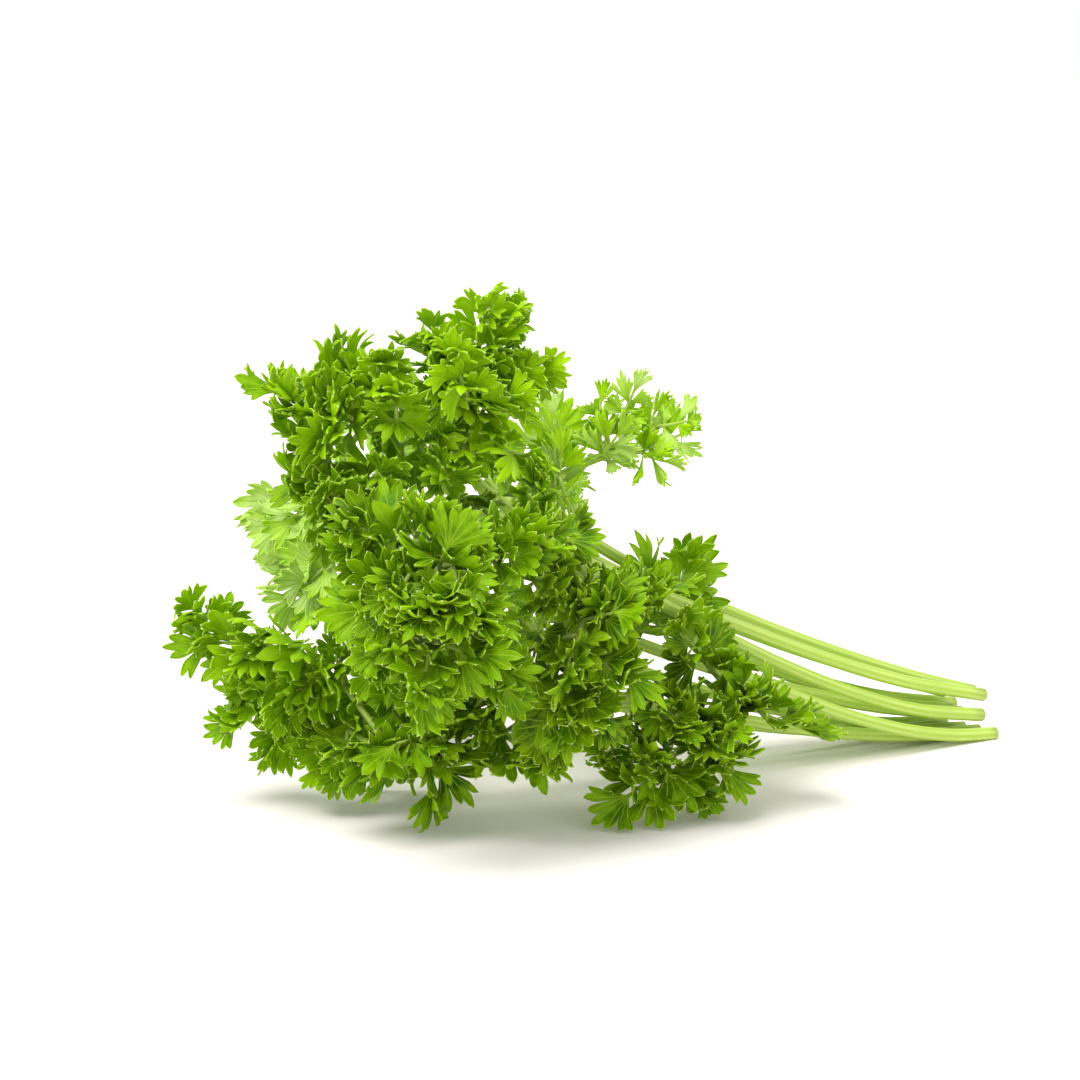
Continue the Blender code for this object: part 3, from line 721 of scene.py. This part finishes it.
def leaf_piece(sprig, fans):
    """The fine leaflets of one head as one closed piece."""
    rng = np.random.default_rng(SEED + sprig.number)
    big, small = [], []
    for fan in fans:
        more_big, more_small = fan_leaflets(fan, sprig.name, rng)
        big += more_big
        small += more_small
    points, marks, faces, used = [], [], [], 0
    for group in filter(None, (big, small)):
        grids = pressed(np.array([p for p, _ in group]), LEAF_LOW_MM)
        count, teeth, rows, columns = grids.shape[:4]
        faces.append(grid_faces((count * teeth, rows, columns)) + used)
        points.append(grids.reshape(-1, 3))
        marks.append(np.array([m for _, m in group]).reshape(-1, 5))
        used += len(points[-1])
    marks = np.vstack(marks)
    mesh = grid_mesh(
        "parsley_leaf_" + sprig.name,
        np.vstack(points),
        {"blade": marks[:, :3], "tone_and_painted_light": marks[:, 3], "free": marks[:, 4]},
        np.vstack(faces),
        WELD_MM,
    )
    piece = bpy.data.objects.new(mesh.name, mesh)
    bpy.context.scene.collection.objects.link(piece)
    shell = piece.modifiers.new("thickness", "SOLIDIFY")
    shell.thickness = LEAF_THICKNESS_MM * MM
    shell.offset = 0.0
    shell.material_offset = 1
    graph = bpy.context.evaluated_depsgraph_get()
    solid = bpy.data.meshes.new_from_object(piece.evaluated_get(graph))
    piece.modifiers.clear()
    piece.data = solid
    solid.set_sharp_from_angle(angle=math.radians(SHARP_DEGREES))
    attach(piece, "root")
    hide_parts("leaf_" + sprig.name)
    return piece


leaves = {s.name: leaf_piece(s, heads[s.name][0]) for s in sprigs}
triangles = {name: sum(len(p.vertices) - 2 for p in o.data.polygons) for name, o in leaves.items()}
print("leaf triangles:", sum(triangles.values()), triangles)

# %% [markdown]
# ## The stalks
# A parsley stalk is not round: it has fine ribs along it and a groove on its upper side. It is a profile
# carried along a path. The path follows the frame's own stalk, whose rings are averaged to its middle line,
# and runs on through the head along the rib, which gets thinner towards the tip.

# %% The path of a stalk
STALK_STEPS = 8
PATH_ROWS = 40


def ring_middles(sprig):
    """The middle of each ring of the frame's stalk, from its cut end to its collar, in the layout's mm."""
    node = NODES["stalk_" + sprig.name].data
    corners = np.zeros(len(node.vertices) * 3)
    node.vertices.foreach_get("co", corners)
    corners = np.unique(np.round(corners.reshape(-1, 3), 6), axis=0) / MM - np.array(BUNCH_SHIFT_MM)
    corners = corners @ TURN
    planned = np.array([bezier(sprig.stalk_curve(), i / STALK_STEPS) for i in range(STALK_STEPS + 1)])
    nearest = np.linalg.norm(corners[:, None] - planned[None], axis=2).argmin(axis=1)
    return np.array([corners[nearest == i].mean(axis=0) for i in range(STALK_STEPS + 1)])


def smooth_path(knots, rows):
    """A Catmull-Rom curve through the knots, at rows even steps of its own parameter."""
    ends = np.vstack([2 * knots[0] - knots[1], knots, 2 * knots[-1] - knots[-2]])
    at = np.linspace(0.0, len(knots) - 1.0, rows)
    cell = np.minimum(at.astype(int), len(knots) - 2)
    t = (at - cell)[:, None]
    a, b, c, d = ends[cell], ends[cell + 1], ends[cell + 2], ends[cell + 3]
    return 0.5 * (2 * b + (c - a) * t + (2 * a - 5 * b + 4 * c - d) * t**2 + (3 * b - a - 3 * c + d) * t**3)


def carried_frames(path):
    """Two directions across the path at each point, turned as little as possible from one to the next."""
    ahead = np.gradient(path, axis=0)
    ahead /= np.linalg.norm(ahead, axis=1)[:, None]
    one = np.cross(ahead[0], (0.0, 0.0, 1.0))
    ones = []
    for direction in ahead:
        one = one - direction * (one @ direction)
        one = one / np.linalg.norm(one)
        ones.append(one)
    ones = np.array(ones)
    return ones, np.cross(ahead, ones)


print("points along a stalk:", PATH_ROWS)

# %% [markdown]
# The profile is a circle with a wave for the ribs and one dent for the groove. At both ends it shrinks to
# the middle line in three flat rings, so the cut is closed. The cut end keeps a mark for its own paler
# colour.

# %% The surface of a stalk
STALK_RIBS = 7
STALK_COLUMNS = 28
RIB_DEPTH = 0.035
GROOVE_DEPTH, GROOVE_HALF_ANGLE = 0.10, 0.45
CAP_SHARES = (0.0, 0.55, 0.85)
STALK_LOW_MM = 0.03


def ribbed_stalk(path, radii, columns=STALK_COLUMNS, ribs=STALK_RIBS):
    """Points and marks of a stalk: radius times 1 + depth cos(ribs angle) - groove, closed at both ends.

    The marks are the height of the rib, the share of the way along, and how near the cut face it is.
    """
    angle = np.linspace(0.0, 2 * math.pi, columns, endpoint=False)
    ridge = np.cos(ribs * angle)
    turned = (angle + math.pi / 2) % (2 * math.pi) - math.pi
    section = 1.0 + RIB_DEPTH * ridge - GROOVE_DEPTH * np.exp(-((turned / GROOVE_HALF_ANGLE) ** 2))
    one, other = carried_frames(path)
    rows = [0] * len(CAP_SHARES) + list(range(len(path))) + [len(path) - 1] * len(CAP_SHARES)
    share = np.array([*CAP_SHARES, *np.ones(len(path)), *CAP_SHARES[::-1]])
    wide = (radii[rows] * share)[:, None] * section
    around = np.cos(angle)[:, None] * one[rows][:, None] + np.sin(angle)[:, None] * other[rows][:, None]
    points = path[rows][:, None] + around * wide[:, :, None]
    points[..., 2] = np.maximum(points[..., 2], STALK_LOW_MM)
    height = np.broadcast_to(0.5 + 0.5 * ridge, wide.shape)
    along = np.broadcast_to(np.linspace(0.0, 1.0, len(path))[rows][:, None], wide.shape)
    face = np.broadcast_to((1.0 - share)[:, None] * (np.array(rows) == 0)[:, None], wide.shape)
    return points, np.stack([height, along, face], axis=-1)


print("ribs on a stalk:", STALK_RIBS, "on", STALK_COLUMNS, "columns")

# %% [markdown]
# A stalk runs on as the rib of its leaf, and carries a twig to every stalklet and side shoot. A thin rib
# lies under each fan, so that no leaflet floats.

# %% The stalks with their ribs and twigs
HEAD_ROWS = 14
TWIG_ROWS, TWIG_COLUMNS, TWIG_RIBS, TWIG_RADII_MM = 6, 8, 2, (0.9, 0.55)
FAN_RIB_ROWS, FAN_RIB_COLUMNS, FAN_RIB_RIBS, FAN_RIB_RADII_MM = 5, 6, 3, (0.5, 0.3)
STALK_WELD_MM = 0.001


def stalk_piece(sprig, fans, twigs):
    """The fine stalk of one sprig, on through its head, with its stalklets and the rib of each fan."""
    outer = smooth_path(ring_middles(sprig), PATH_ROWS)
    inner = np.array([bezier(sprig.rib, share) for share in np.linspace(0.0, 1.0, HEAD_ROWS)])
    below = np.linspace(STALK_RADIUS_MM, COLLAR_RADIUS_MM, PATH_ROWS)
    above = np.linspace(COLLAR_RADIUS_MM, RIB_TIP_RADIUS_MM, HEAD_ROWS)
    parts = [ribbed_stalk(np.vstack([outer, inner]), np.concatenate([below, above]))]
    radii = np.linspace(*TWIG_RADII_MM, TWIG_ROWS)
    for points, *_ in twigs:
        line = np.array([points[0].lerp(points[1], share) for share in np.linspace(0.0, 1.0, TWIG_ROWS)])
        parts.append(ribbed_stalk(line, radii, TWIG_COLUMNS, TWIG_RIBS))
    radii = np.linspace(*FAN_RIB_RADII_MM, FAN_RIB_ROWS)
    for fan in fans:
        ahead = np.linspace(0.0, LEAFLETS[0][0] * fan[3], FAN_RIB_ROWS)
        line = on_fan(fan, ahead, 0.0 * ahead)
        parts.append(ribbed_stalk(line, radii, FAN_RIB_COLUMNS, FAN_RIB_RIBS))
    faces, points, marks, used = [], [], [], 0
    for grid, mark in parts:
        faces.append(grid_faces((1, *grid.shape[:2]), closed=True) + used)
        points.append(grid.reshape(-1, 3))
        marks.append(mark.reshape(-1, 3))
        used += len(points[-1])
    mesh = grid_mesh(
        "parsley_stalk_" + sprig.name,
        np.vstack(points),
        {"stalk": np.vstack(marks)},
        np.vstack(faces)[:, ::-1],
        STALK_WELD_MM,
    )
    piece = bpy.data.objects.new(mesh.name, mesh)
    bpy.context.scene.collection.objects.link(piece)
    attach(piece, "root")
    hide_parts("stalk_" + sprig.name)
    return piece


stalks = {s.name: stalk_piece(s, *heads[s.name]) for s in sprigs}
print("stalk faces:", sum(len(o.data.polygons) for o in stalks.values()))

# %% [markdown]
# ## Materials
# Small helpers keep the materials short: the scale of a noise from the real size of its patches, a colour
# from its hex code, a node with its settings and links, and two ways to mix colours by a mark.


# %% Helpers for materials
def per_metre(size_mm):
    """The scale of a noise whose patches are this wide: 1 / size, as Object coordinates are in metres."""
    return 1.0 / (size_mm * MM)


def linear(code):
    """An sRGB hex colour as linear values: c / 12.92 for dark ones, else ((c + 0.055) / 1.055)^2.4."""
    values = [int(code[i : i + 2], 16) / 255 for i in (1, 3, 5)]
    return (*[v / 12.92 if v <= 0.04045 else ((v + 0.055) / 1.055) ** 2.4 for v in values], 1.0)


def add(tree, kind, links=None, **settings):
    """A node of this kind, with its settings, and with the sockets or values that its inputs take."""
    node = tree.nodes.new(kind)
    for key, value in settings.items():
        setattr(node, key, value)
    for key, value in (links or {}).items():
        if isinstance(value, bpy.types.NodeSocket):
            tree.links.new(value, node.inputs[key])
        else:
            node.inputs[key].default_value = value
    return node


def empty_material(name):
    """A new material and its tree, without any node."""
    made = bpy.data.materials.new(name)
    made.use_nodes = True
    made.node_tree.nodes.clear()
    return made, made.node_tree


def marks_of(tree, name):
    """The three marks that the points of a piece carry under this name."""
    marks = add(tree, "ShaderNodeAttribute", attribute_name=name)
    return add(tree, "ShaderNodeSeparateXYZ", {"Vector": marks.outputs["Vector"]}).outputs


def ramp(tree, source, *stops):
    """A colour ramp of (place, colour) stops that follows the source."""
    node = add(tree, "ShaderNodeValToRGB", {"Fac": source})
    items = node.color_ramp.elements
    while len(items) < len(stops):
        items.new(1.0)
    for item, (place, colour) in zip(items, stops):
        item.position = place
        item.color = linear(colour) if isinstance(colour, str) else (colour, colour, colour, 1.0)
    return node.outputs["Color"]


def blend(tree, share, first, second):
    """The second colour laid over the first by this share. Sockets 0, 6, 7 and output 2 are for colours."""
    return add(tree, "ShaderNodeMix", {0: share, 6: first, 7: second}, data_type="RGBA").outputs[2]


print("a noise with patches 1 mm wide has the scale", per_metre(1.0))

# %% [markdown]
# A fresh parsley leaflet is paler at its little stalk. Towards its tips it is painted lighter, which is
# painted light on the outer teeth and leaves the middle darkest. The midrib of each tooth is paler too, side
# veins leave it at a slant, the rim is painted lighter as a highlight, and each tip ends in a tiny
# cream-coloured point. All of this follows the marks of the points, so it holds from every side.

# %% Colour of a leaf
# Real sizes: one leaflet, one tooth, and what is drawn on them
LEAFLET_LENGTH_MM = 10.0
TOOTH_LENGTH_MM = 3.5
TOOTH_HALF_MM = 1.3
MIDRIB_HALF_MM = 0.17
SIDE_VEIN_GAP_MM = 1.1
RIM_HIGHLIGHT_MM = 0.1
PALE_TIP_MM = 0.2
MOTTLE_MM = 3.8
VEIN_SLANT = 0.8
POINT_COLOUR = "#E4E9BC"


def leaf_colour(tree, place, shades, base, vein, rim_highlight):
    """The colour of a leaf by how light it is, its veins, its edge with a painted highlight and its tips with
    painted light, and how much a place is midrib.
    """
    across, along, rim_highlight_mask = marks_of(tree, "blade")
    tone_and_painted_light = add(tree, "ShaderNodeAttribute", attribute_name="tone_and_painted_light").outputs["Fac"]
    free = add(tree, "ShaderNodeAttribute", attribute_name="free").outputs["Fac"]
    mottle = {"Vector": place, "Scale": per_metre(MOTTLE_MM), "Detail": 3.0}
    mottle = add(tree, "ShaderNodeTexNoise", mottle).outputs["Fac"]
    # How light a leaflet is: its own green, with the painted shade and light of its head.
    body = ramp(tree, tone_and_painted_light, *zip((0.0, 0.33, 0.67, 1.0), shades))
    body = blend(tree, ramp(tree, mottle, (0.42, 0.0), (0.62, 0.35)), body, linear(shades[2]))
    body = blend(tree, ramp(tree, along, (0.0, 0.7), (0.25, 0.0)), body, linear(base))
    # Lighter towards the tips: painted light on the outer teeth, which leaves the middle of the leaflet
    # darkest.
    body = blend(tree, ramp(tree, along, (0.5, 0.0), (1.0, 0.48)), body, linear(shades[2]))
    from_rib = add(tree, "ShaderNodeMath", {0: across, 1: along}, operation="MULTIPLY").outputs[0]
    rib = MIDRIB_HALF_MM / TOOTH_HALF_MM
    midrib = ramp(tree, from_rib, (0.0, 0.8), (0.4 * rib, 0.6), (rib, 0.0))
    body = blend(tree, midrib, body, linear(vein))
    veins = LEAFLET_LENGTH_MM / SIDE_VEIN_GAP_MM
    slant = add(tree, "ShaderNodeMath", {0: along, 1: veins}, operation="MULTIPLY")
    slant = {0: across, 1: -VEIN_SLANT, 2: slant.outputs[0]}
    slant = add(tree, "ShaderNodeMath", slant, operation="MULTIPLY_ADD").outputs[0]
    slant = add(tree, "ShaderNodeMath", {0: slant}, operation="FRACT").outputs[0]
    ridges = ramp(tree, slant, (0.0, 0.25), (0.12, 0.0), (0.88, 0.0), (1.0, 0.25))
    body = blend(tree, ridges, body, linear(vein))
    inside = (1.0 - RIM_HIGHLIGHT_MM / TOOTH_HALF_MM) ** 2
    # A lighter line along the rim of each tooth: a painted highlight.
    body = blend(tree, ramp(tree, rim_highlight_mask, (inside, 0.0), (1.0, 0.35)), body, linear(rim_highlight))
    tip = 1.0 - PALE_TIP_MM / TOOTH_LENGTH_MM
    body = blend(tree, ramp(tree, free, (tip, 0.0), (0.99, 0.9)), body, linear(POINT_COLOUR))
    return body, midrib


print("side veins on a leaflet:", round(LEAFLET_LENGTH_MM / SIDE_VEIN_GAP_MM))

# %% [markdown]
# A living leaf has a waxy skin over tissue full of water. Wax has an IOR near 1.45, but the puckered skin
# breaks its gloss, so the specular level is low. Much of the light passes through and gives a yellow-green
# glow, so a Principled skin is mixed with a Translucent one. The underside has less wax: it is paler and
# duller.

# %% Leaf, upper side and underside
GLOW_SHARE, GLOW_TINT = 0.3, 0.6
LEAF_SPECULAR_LEVEL = 0.14
PUCKER_MM, PUCKER_HEIGHT_MM, PUCKER_STRENGTH = 0.9, 0.3, 0.35
MIDRIB_SINK = 0.8


def close_material(tree, skin, share, through):
    """Ends a material with this share of light that passes through, and the rest from its skin."""
    mixed = add(tree, "ShaderNodeMixShader", {0: share, 1: skin.outputs[0], 2: through.outputs[0]})
    add(tree, "ShaderNodeOutputMaterial", {"Surface": mixed.outputs[0]})


def leaf_material(name, shades, base, vein, rim_highlight, glow, roughness):
    """A leaf's skin over its colour, puckered and sunk at the midribs, with a Translucent share."""
    made, tree = empty_material(name)
    place = add(tree, "ShaderNodeTexCoord").outputs["Object"]
    body, midrib = leaf_colour(tree, place, shades, base, vein, rim_highlight)
    pucker = add(tree, "ShaderNodeTexNoise", {"Vector": place, "Scale": per_metre(PUCKER_MM), "Detail": 2.0})
    height = {0: midrib, 1: -MIDRIB_SINK, 2: pucker.outputs["Fac"]}
    height = add(tree, "ShaderNodeMath", height, operation="MULTIPLY_ADD").outputs[0]
    relief = {"Strength": PUCKER_STRENGTH, "Distance": PUCKER_HEIGHT_MM * MM, "Height": height}
    relief = add(tree, "ShaderNodeBump", relief).outputs[0]
    skin = {
        "Base Color": body,
        "Roughness": roughness,
        "IOR": 1.45,
        "Specular IOR Level": LEAF_SPECULAR_LEVEL,
        "Normal": relief,
    }
    skin = add(tree, "ShaderNodeBsdfPrincipled", skin)
    through = blend(tree, GLOW_TINT, body, linear(glow))
    through = add(tree, "ShaderNodeBsdfTranslucent", {"Color": through, "Normal": relief})
    close_material(tree, skin, GLOW_SHARE, through)
    return made


upper = leaf_material(
    "waxy_leaf_upper_side",
    shades=("#214A00", "#558A00", "#B2E00C", "#E2F0AC"),
    base="#A8C840",
    vein="#A4C830",
    rim_highlight="#BEDC3C",
    glow="#CCEC00",
    roughness=0.42,
)
under = leaf_material(
    "leaf_underside",
    shades=("#527E14", "#86AE34", "#B8D66C", "#DFEEC0"),
    base="#B8D086",
    vein="#C2D890",
    rim_highlight="#C4DC78",
    glow="#CCEC10",
    roughness=0.6,
)
for piece in leaves.values():
    piece.data.materials.clear()
    piece.data.materials.append(upper)
    piece.data.materials.append(under)
print("leaf materials:", upper.name, under.name)

# %% [markdown]
# Parsley stalk: a juicy stem with a smooth skin, so it is glossier than the leaf. Its ribs are pale and the
# valleys between them greener, fine fibres run along it, and the fresh cut is nearly white.


# %% Stalk
STALK_GLOW_SHARE = 0.3
STALK_LENGTH_MM = 130.0
RIB_HALF_MM = 0.7
FIBRE_WIDTH_MM = 0.09
FIBRE_LENGTH_MM = 9.0
FIBRE_HEIGHT_MM, FIBRE_STRENGTH = 0.2, 0.25
STALK_MOTTLE_MM = 11.0


def stalk_material(name):
    """A juicy stem: pale ribs over greener valleys, greener towards the head, whitish at the cut."""
    made, tree = empty_material(name)
    ridge, along, face = marks_of(tree, "stalk")
    place = add(tree, "ShaderNodeTexCoord").outputs["Object"]
    mottle = {"Vector": place, "Scale": per_metre(STALK_MOTTLE_MM), "Detail": 4.0}
    mottle = add(tree, "ShaderNodeTexNoise", mottle).outputs["Fac"]
    lines = {0: ridge, 1: RIB_HALF_MM / FIBRE_WIDTH_MM}
    lines = add(tree, "ShaderNodeMath", lines, operation="MULTIPLY").outputs[0]
    slow = {0: along, 1: STALK_LENGTH_MM / FIBRE_LENGTH_MM}
    slow = add(tree, "ShaderNodeMath", slow, operation="MULTIPLY").outputs[0]
    grain = add(tree, "ShaderNodeCombineXYZ", {"X": lines, "Y": slow}).outputs[0]
    fibre = add(tree, "ShaderNodeTexNoise", {"Vector": grain, "Scale": 1.0, "Detail": 4.0}).outputs["Fac"]
    body = blend(tree, ramp(tree, ridge, (0.1, 0.0), (0.8, 1.0)), linear("#B2D046"), linear("#D6E882"))
    body = blend(tree, ramp(tree, mottle, (0.4, 0.0), (0.7, 0.5)), body, linear("#B8D45A"))
    body = blend(tree, ramp(tree, fibre, (0.45, 0.0), (0.7, 0.45)), body, linear("#96BC3A"))
    body = blend(tree, ramp(tree, along, (0.7, 0.0), (1.0, 0.4)), body, linear("#A0C83C"))
    body = blend(tree, ramp(tree, face, (0.0, 0.0), (0.2, 1.0)), body, linear("#DDE8B4"))
    relief = {"Strength": FIBRE_STRENGTH, "Distance": FIBRE_HEIGHT_MM * MM, "Height": fibre}
    relief = add(tree, "ShaderNodeBump", relief).outputs[0]
    skin = {"Base Color": body, "Roughness": 0.38, "IOR": 1.42, "Normal": relief}
    skin = add(tree, "ShaderNodeBsdfPrincipled", skin)
    through = add(tree, "ShaderNodeBsdfTranslucent", {"Color": linear("#CBE66F")})
    close_material(tree, skin, STALK_GLOW_SHARE, through)
    return made


stem = stalk_material("ribbed_parsley_stalk")
for piece in stalks.values():
    piece.data.materials.append(stem)
print("stalk material:", stem.name)

# %% [markdown]
# ## Studio
# A white table under one wide soft light, high and a little to the front left, so that the shadow falls
# under the bunch and stays faint. A second weak one and a white surround fill the rest. The table is matt
# painted board, nearly without gloss.


# %% Table and lights
TABLE_HALF_WIDTH = 8.0


def add_floor():
    """A flat square table at height zero, as four corners, in metres."""
    corners = np.array([(-1, -1, 0), (1, -1, 0), (1, 1, 0), (-1, 1, 0)], float) * TABLE_HALF_WIDTH
    mesh = bpy.data.meshes.new("table")
    mesh.from_pydata(corners, [], [(0, 1, 2, 3)])
    made = bpy.data.objects.new("table", mesh)
    bpy.context.scene.collection.objects.link(made)
    paint = bpy.data.materials.new("matte_white_board")
    paint.use_nodes = True
    shader = paint.node_tree.nodes["Principled BSDF"]
    shader.inputs["Base Color"].default_value = linear("#EDE7E3")
    shader.inputs["Roughness"].default_value = 0.9
    mesh.materials.append(paint)
    return made


def add_window(name, across, back, up, strength, width):
    """Even daylight from a window far away and this many degrees wide, from this side of the layout."""
    lamp = bpy.data.lights.new(name, "SUN")
    lamp.energy = strength
    lamp.angle = math.radians(width)
    made = bpy.data.objects.new(name, lamp)
    turn = Matrix.Rotation(BUNCH_TURN, 3, "Z")
    made.rotation_euler = (turn @ -Vector((across, back, up))).to_track_quat("-Z", "Y").to_euler()
    bpy.context.scene.collection.objects.link(made)
    return made


add_floor()
add_window("window", -0.35, -0.35, 1.0, 3.15, 40.0)
add_window("front_window", 0.3, -1.0, 0.6, 0.35, 60.0)
world = bpy.data.worlds.new("surround")
world.use_nodes = True
surround = world.node_tree.nodes["Background"]
surround.inputs["Color"].default_value = linear("#FFFFFF")
surround.inputs["Strength"].default_value = 1.0
bpy.context.scene.world = world
bpy.context.scene.view_settings.view_transform = "Standard"
bpy.context.scene.view_settings.look = "None"
